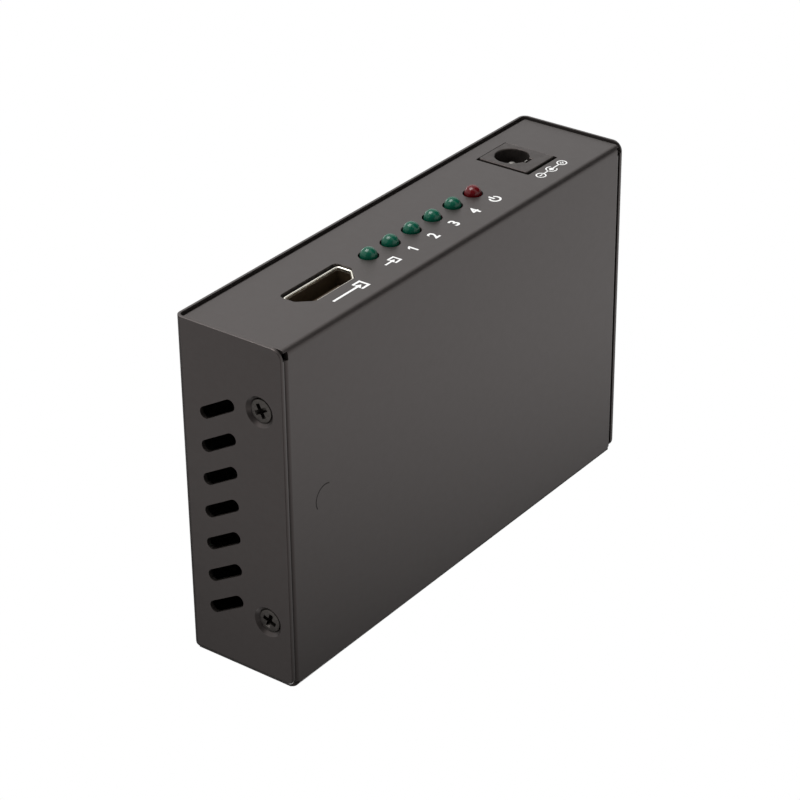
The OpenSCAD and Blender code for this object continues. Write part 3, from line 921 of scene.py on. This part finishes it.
def arc_band(radius, width, first, last):
    """Part of a ring between two angles, in degrees."""
    outer = []
    inner = []
    for step in range(25):
        angle = math.radians(first + (last - first) * step / 24)
        spoke = Vector((math.cos(angle), math.sin(angle)))
        outer.append(spoke * (radius + width / 2))
        inner.append(spoke * (radius - width / 2))
    return outer + inner[::-1]


def arrow_mark(wide, high):
    """Arrow into an open box."""
    stroke = high * 0.18
    right = wide / 2
    top = high / 2
    mouth = right - high * 0.85
    tip = mouth + high * 0.45
    barb = high * 0.3
    shaft = mark(rectangle(-right, -stroke / 2, mouth, stroke / 2))
    head = mark([Vector((tip - barb * 1.5, barb)), Vector((tip - barb * 1.5, -barb)), Vector((tip, 0))])
    side = right - stroke
    half = [(mouth, top), (mouth, top - stroke), (side, top - stroke)]
    bracket = half + [(x, -y) for x, y in reversed(half)] + [(right, -top), (right, top)]
    return joined([shaft, head, mark([Vector(p) for p in bracket])])


def one_mark():
    """Numeral one with a plain flag."""
    stem = [(-0.1, -1.05), (0.3, -1.05), (0.3, 1.05), (0.0, 1.05)]
    flag = [(-0.6, 0.6), (-0.6, 0.2), (-0.1, 0.5)]
    return mark([Vector(p) for p in stem + flag])


def power_mark():
    ring = mark(arc_band(0.95, 0.38, 125, 415))
    bar = mark(rectangle(-0.19, 0.1, 0.19, 1.4))
    return joined([ring, bar])


def polarity_mark():
    """Minus, ring with a dot, plus, joined by lines."""
    apart = 3.3
    ring = 0.98
    ring_bore = 0.74
    bar = 0.42
    half = 0.12
    line_end = 2.34
    parts = []
    for side in (-1, 1):
        place = shift(side * apart, 0, 0)
        parts.append(moved(mark(circle(0, 0, ring), [circle(0, 0, ring_bore)]), place))
        parts.append(moved(mark(rectangle(-bar, -half, bar, half)), place))
    parts.append(moved(mark(rectangle(-half, -bar, half, bar)), shift(apart, 0, 0)))
    parts.append(mark(circle(0, 0, 0.45)))
    parts.append(mark(arc_band(ring, half * 2, 40, 320)))
    parts.append(mark(rectangle(-line_end, -half, -0.9, half)))
    parts.append(mark(rectangle(0.4, -half, line_end, half)))
    return joined(parts)


def front_print():
    """A mark below the input, each lamp and the inlet."""
    marks = [(arrow_mark(8.4, 2.4), "input_shell", 0.4, INPUT_MARK_Z)]
    marks.append((polarity_mark(), "dc_jack_housing", -0.5, INLET_MARK_Z))
    lamp_marks = [arrow_mark(3.4, 2.0), one_mark()]
    lamp_marks += [letters(str(number), NUMERAL_H) for number in (2, 3, 4)]
    lamp_marks.append(power_mark())
    for number, solid in enumerate(lamp_marks, 1):
        marks.append((solid, f"led_{number}", 0.35, LAMP_MARK_Z))
    solids = []
    for solid, node, aside, z in marks:
        low, high = node_box(node)
        place = shift((low.x + high.x) / 2 + aside, -PANEL_Y - PRINT_PROUD, z)
        solids.append(moved(solid, place @ turn(90, "X")))
    return joined(solids)


def rear_print():
    marks = []
    for number in range(1, 5):
        low, high = node_box(f"output_{number}_shell")
        place = shift((low.x + high.x) / 2, PANEL_Y + PRINT_PROUD, REAR_MARK_Z)
        marks.append(moved(letters(str(number), REAR_NUMERAL_H), place @ turn(180, "Z") @ turn(90, "X")))
    return joined(marks)


# Case and print
SOCKETS = {"input": True, "output_1": False, "output_2": False, "output_3": False, "output_4": False}
collars = [collar(end, side * SCREW_Y) for end in (-1, 1) for side in (-1, 1)]
tray = joined([tray_solid()] + collars)
piece("tray_sheet", tray, paint, replaces=["base_tray"], smooth=14)
piece("cover_sheet", cover_solid(), paint, replaces=["top_cover"])
standoffs = joined([standoff_solid(-STANDOFF_X), standoff_solid(STANDOFF_X)])
piece("standoff_posts", standoffs, paint, replaces=["board_standoffs"])
# Dark arc on the base, only on the part of the ring where shade falls: painted shade of the seam round the
# left standoff's foot
painted_seam_shade = moved(mark(arc_band(POST_R, 0.24, 150, 295)), shift(-STANDOFF_X, -1.0, 0.002))
piece("standoff_painted_seam_shade", painted_seam_shade, seam_shade_paint)
piece("front_print", front_print(), print_white)
piece("rear_print", rear_print(), print_white)

# Cover screws
for end, end_name in ((-1, "left"), (1, "right")):
    for side, side_name in ((-1, "front"), (1, "rear")):
        body = f"{end_name}_{side_name}_screw"
        spin = turn(CROSS_TURN + CROSS_TURN_STEP * side, "Z")
        place = shift(end * (CASE_X - SCREW_SINK), side * SCREW_Y, SCREW_Z) @ turn(90 * end, "Y") @ spin
        piece(body + "_detail", moved(screw_solid(), place), screw_black, body, [body], 35)

# Video sockets
for node, front in SOCKETS.items():
    low, high = node_box(node + "_shell")
    middle = (low.x + high.x) / 2
    floor = high.z - SHELL_T - MOUTH_H
    if front:
        place = shift(middle, low.y, 0)
    else:
        place = shift(middle, high.y, 0) @ turn(180, "Z")
    piece(node + "_shell_detail", moved(shell_solid(0, floor), place), nickel,
          replaces=[node + "_shell"])
    # The tongue piece also carries the dark sleeve of painted shade inside the shell
    piece(node + "_tongue", moved(insulator_solid(0, floor), place), socket_plastic,
          replaces=[node + "_insulator"])
    piece(node + "_strips", moved(contacts_solid(0, floor), place), gold,
          replaces=[node + "_contacts"])

# Lamps in the row
for number in range(1, LEDS + 1):
    low, high = node_box(f"led_{number}")
    length = high.y - low.y
    place = shift((low.x + high.x) / 2, high.y, (low.z + high.z) / 2) @ turn(90, "X")
    resin, slot = (led_red, "led_red") if number == LEDS else (led_green, "led_green")
    piece(f"led_{number}_lens", moved(led_solid(length), place), resin, replaces=[f"led_{number}"])
    piece(f"led_{number}_frame", moved(led_frame_solid(length), place), steel)

# Inlet
piece("jack_moulding", jack_solid(), black_plastic,
      replaces=["dc_jack_housing"], smooth=12)
low, high = node_box("dc_jack_pin")
place = shift((low.x + high.x) / 2, high.y, (low.z + high.z) / 2) @ turn(90, "X")
pin = moved(pin_solid(high.y - low.y), place)
piece("jack_pin_detail", pin, spring_steel, replaces=["dc_jack_pin"])
piece("jack_leaf_detail", leaf_solid(), spring_steel, "dc_jack_leaf", ["dc_jack_leaf"])

# Pieces on the board keep their CAD shapes
CARRIED = {
    "circuit_board": board_green,
    "board_screws": steel,
    "led_leads": steel,
    "dc_jack_terminals": steel,
    "splitter_chip": chip_black,
    "memory_chip": chip_black,
    "voltage_regulator": chip_black,
    "crystal": steel,
    "inductor": chip_black,
    "capacitors": can,
    "resistors": chip_black,
}
for carried in bpy.context.scene.objects:
    if carried.type == "MESH" and carried.name in CARRIED:
        carried.data.materials.clear()
        carried.data.materials.append(CARRIED[carried.name])

# Stage: the camera and mirrors see white, and less light falls on the case
AMBIENT = 0.45
world = bpy.data.worlds.new("studio")
bpy.context.scene.world = world
world.use_nodes = True
sky = world.node_tree
ambient = sky.nodes["Background"]
ambient.inputs["Color"].default_value = (1, 1, 1, 1)
ambient.inputs["Strength"].default_value = AMBIENT
backdrop = sky.nodes.new("ShaderNodeBackground")
backdrop.inputs["Color"].default_value = (1, 1, 1, 1)
backdrop.inputs["Strength"].default_value = 1.0
path = sky.nodes.new("ShaderNodeLightPath")
seen = sky.nodes.new("ShaderNodeMath")
seen.operation = "MAXIMUM"
direct = sky.nodes.new("ShaderNodeMath")
direct.operation = "MAXIMUM"
choice = sky.nodes.new("ShaderNodeMixShader")
sky.links.new(path.outputs["Is Glossy Ray"], seen.inputs[0])
sky.links.new(path.outputs["Is Transmission Ray"], seen.inputs[1])
sky.links.new(path.outputs["Is Camera Ray"], direct.inputs[0])
sky.links.new(seen.outputs["Value"], direct.inputs[1])
sky.links.new(direct.outputs["Value"], choice.inputs["Fac"])
sky.links.new(ambient.outputs["Background"], choice.inputs[1])
sky.links.new(backdrop.outputs["Background"], choice.inputs[2])
sky.links.new(choice.outputs["Shader"], sky.nodes["World Output"].inputs["Surface"])

# Floor: pale from above, fading out far from the case, and nothing at all from below
FLOOR_WIDE = 1400.0
FLOOR_DROP = 0.05
FADE_START = 140.0
FADE_END = 600.0
floor_solid = bmesh.new()
bmesh.ops.create_grid(floor_solid, x_segments=1, y_segments=1, size=FLOOR_WIDE * MM)
floor_mesh = bpy.data.meshes.new("floor")
floor_solid.to_mesh(floor_mesh)
floor_solid.free()
floor = bpy.data.objects.new("floor", floor_mesh)
bpy.context.collection.objects.link(floor)
floor.location.z = -FLOOR_DROP * MM
floor_paper, floor_tree, floor_shader = shader("floor_paper", 0.9)
floor_shader.inputs["Specular IOR Level"].default_value = 0.0
mottled(floor_tree, floor_shader, 60.0, (0.80, 0.80, 0.80), (0.82, 0.82, 0.82))
floor_side = floor_tree.nodes.new("ShaderNodeNewGeometry")
floor_place = floor_tree.nodes.new("ShaderNodeTexCoord")
floor_reach = floor_tree.nodes.new("ShaderNodeVectorMath")
floor_reach.operation = "LENGTH"
fade = floor_tree.nodes.new("ShaderNodeMapRange")
fade.interpolation_type = "SMOOTHSTEP"
fade.inputs["From Min"].default_value = FADE_START * MM
fade.inputs["From Max"].default_value = FADE_END * MM
hidden = floor_tree.nodes.new("ShaderNodeMath")
hidden.operation = "MAXIMUM"
clear = floor_tree.nodes.new("ShaderNodeBsdfTransparent")
one_way = floor_tree.nodes.new("ShaderNodeMixShader")
floor_tree.links.new(floor_place.outputs["Object"], floor_reach.inputs[0])
floor_tree.links.new(floor_reach.outputs["Value"], fade.inputs["Value"])
floor_tree.links.new(fade.outputs["Result"], hidden.inputs[0])
floor_tree.links.new(floor_side.outputs["Backfacing"], hidden.inputs[1])
floor_tree.links.new(hidden.outputs["Value"], one_way.inputs["Fac"])
floor_tree.links.new(floor_shader.outputs["BSDF"], one_way.inputs[1])
floor_tree.links.new(clear.outputs["BSDF"], one_way.inputs[2])
floor_tree.links.new(one_way.outputs["Shader"], floor_tree.nodes["Material Output"].inputs["Surface"])
floor_mesh.materials.append(floor_paper)
floor.visible_diffuse = False
floor.visible_glossy = False
floor.visible_transmission = False
floor.visible_shadow = False


def lamp(name, at, towards, width, height, watts):
    """A soft rectangular lamp, its place and target in millimetres."""
    data = bpy.data.lights.new(name, "AREA")
    data.shape = "RECTANGLE"
    data.size = width * MM
    data.size_y = height * MM
    data.energy = watts
    made = bpy.data.objects.new(name, data)
    bpy.context.collection.objects.link(made)
    made.location = Vector(at) * MM
    made.rotation_euler = (Vector(towards) - Vector(at)).to_track_quat("-Z", "Y").to_euler()
    made.visible_camera = False


lamp("key", (-60, -420, 150), (0, -20, 8), 260, 260, 1.8)
lamp("top", (200, 140, 480), (0, 0, 10), 420, 420, 1.2)
lamp("rear", (170, 460, 100), (0, 10, 10), 240, 160, 0.7)


def facing(aim, direction, away, half_wide, half_high):
    """Corners of an upright rectangle that faces a point from some way off."""
    look = Vector(direction).normalized()
    across = look.cross(Vector((0, 0, 1))).normalized()
    up = across.cross(look)
    middle = Vector(aim) + look * away
    sides = ((-1, -1), (1, -1), (1, 1), (-1, 1))
    return [middle + across * half_wide * i + up * half_high * j for i, j in sides]


def scrim(name, corners, darkest, lightest=1.0, slope=(0, 0, 0), start=1.0, shades=False):
    """A grey gauze that only reflections see; it can clear along a slope, and shade what lies behind it."""
    mesh = bpy.data.meshes.new(name)
    mesh.from_pydata([Vector(corner) * MM for corner in corners], [], [(0, 1, 2, 3)])
    gauze = bpy.data.materials.new(name)
    gauze.use_nodes = True
    tree = gauze.node_tree
    tree.nodes.remove(tree.nodes["Principled BSDF"])
    place = tree.nodes.new("ShaderNodeTexCoord")
    along = tree.nodes.new("ShaderNodeVectorMath")
    along.operation = "DOT_PRODUCT"
    along.inputs[1].default_value = Vector(slope) / MM
    span = tree.nodes.new("ShaderNodeMapRange")
    span.inputs["From Min"].default_value = start
    span.inputs["From Max"].default_value = start + lightest - darkest
    span.inputs["To Min"].default_value = darkest
    span.inputs["To Max"].default_value = lightest
    clear = tree.nodes.new("ShaderNodeBsdfTransparent")
    tree.links.new(place.outputs["Object"], along.inputs[0])
    tree.links.new(along.outputs["Value"], span.inputs["Value"])
    tree.links.new(span.outputs["Result"], clear.inputs["Color"])
    tree.links.new(clear.outputs["BSDF"], tree.nodes["Material Output"].inputs["Surface"])
    mesh.materials.append(gauze)
    made = bpy.data.objects.new(name, mesh)
    bpy.context.collection.objects.link(made)
    made.visible_camera = False
    made.visible_diffuse = False
    made.visible_transmission = False
    made.visible_shadow = shades


# Each gauze stands where part of the case sees it mirrored: the base, the front bend, what faces the
# camera, the rims, the rear corners and edge, the panel and the left end
BEHIND = PANEL_Y + 4
scrim("rear_gauze", [(-160, BEHIND, -1), (280, BEHIND, -1), (280, BEHIND, -120), (-160, BEHIND, -120)],
      0.27, 1.0, (0.0034, 0, -0.0075), -0.136)
scrim("front_gauze", [(62, -243, -1), (218, -61, -1), (218, -61, -220), (62, -243, -220)],
      0.05, shades=True)
scrim("camera_gauze", facing((0, 0, 10), (-0.70, -0.49, -0.52), 500, 330, 330), 0.08)
scrim("back_gauze", facing((-CASE_X, 0, 10), (0.1, 0.65, 0.75), 250, 150, 150), 0.05)
scrim("behind_gauze", facing((0, 0, 10), (0.70, 0.49, 0.52), 300, 170, 170), 0.25)
scrim("low_gauze", facing((0, PANEL_Y, 0), (0.42, 0.90, 0.14), 250, 165, 50), 0.05)
scrim("sill_gauze", [(-160, BEHIND, 0.6), (280, BEHIND, 0.6), (280, BEHIND, -2), (-160, BEHIND, -2)],
      0.08)
scrim("panel_gauze", facing((0, -PANEL_Y, 10), (0.70, -0.49, 0.52), 200, 120, 70), 0.95)
BESIDE = -CASE_X - 61
scrim("end_gauze", [(BESIDE, -60, -30), (BESIDE, 140, -30), (BESIDE, 140, 150), (BESIDE, -60, 150)],
      0.4, 0.84, (0, -0.018, 0), -1.454)

# Camera
CAMERA_AT = Vector((-326.9, -227.05, -232.2))
CAMERA_FORWARD = Vector((0.696, 0.4905, 0.5244))
CAMERA_UP = Vector((0.3987, -0.8714, 0.2859))
camera_data = bpy.data.cameras.new("camera")
camera_data.lens = 119.12
camera_data.sensor_width = 36.0
camera_data.clip_start = 0.01
camera = bpy.data.objects.new("camera", camera_data)
bpy.context.collection.objects.link(camera)
back = -CAMERA_FORWARD.normalized()
across = CAMERA_UP.cross(back).normalized()
axes = Matrix((across, back.cross(across), back)).transposed()
camera.matrix_world = Matrix.Translation(CAMERA_AT * MM) @ axes.to_4x4()
bpy.context.scene.camera = camera
bpy.context.scene.view_settings.view_transform = "Standard"
